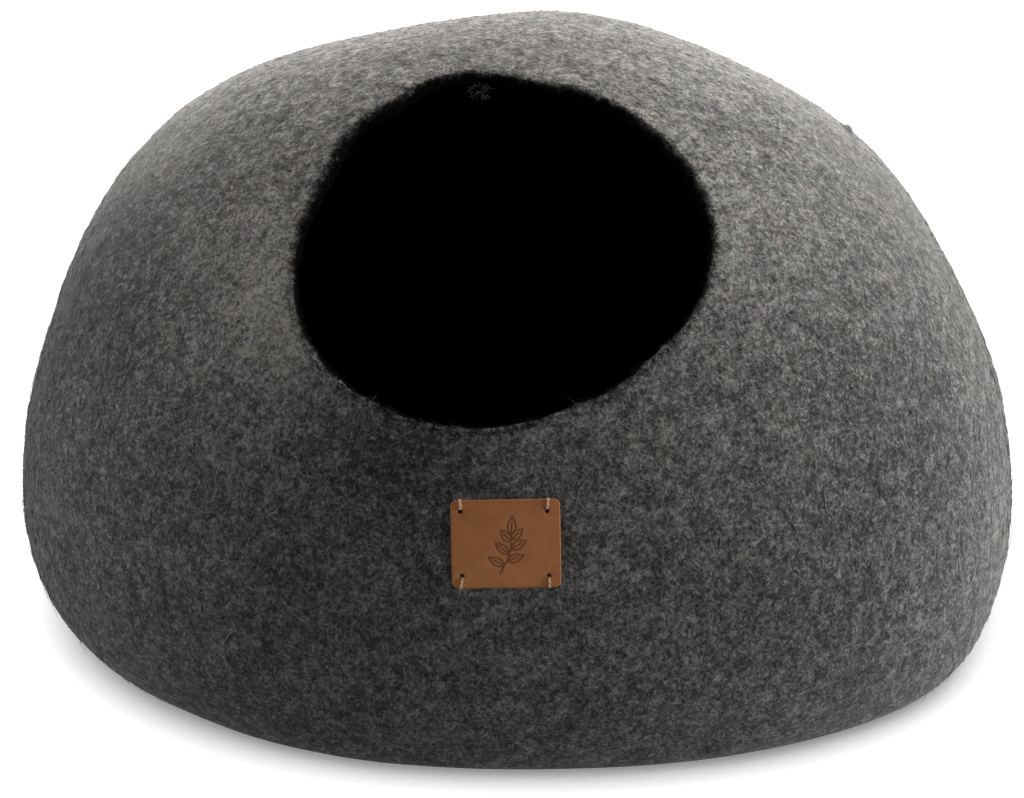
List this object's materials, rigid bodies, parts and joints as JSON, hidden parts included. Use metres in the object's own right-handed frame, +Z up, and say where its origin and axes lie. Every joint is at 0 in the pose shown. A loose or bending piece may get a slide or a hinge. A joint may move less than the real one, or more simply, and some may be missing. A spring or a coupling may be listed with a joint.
{
  "type": "felt cat cave",
  "caption": "Round hollow wool-felt pet bed with a tipped round opening, a flat base and a small stitched leather label on its front.",
  "frame": {"origin": "middle of the overall box, on the surface the cave stands on", "axes": "+Z up; -Y to the front, where the opening and the label are; +X to the right as seen from the front"},
  "size_m": [0.4977, 0.484, 0.2846],
  "materials": {
    "grey_felt": "matte marled wool felt",
    "tan_leather": "smooth with cut edges",
    "linen_thread": "matte twisted thread"
  },
  "bodies": {
    "root": {"felt_cave": "grey_felt", "leather_label": "tan_leather", "stitch_top_left": "linen_thread", "stitch_top_right": "linen_thread", "stitch_bottom_left": "linen_thread", "stitch_bottom_right": "linen_thread"}
  },
  "joints": []
}
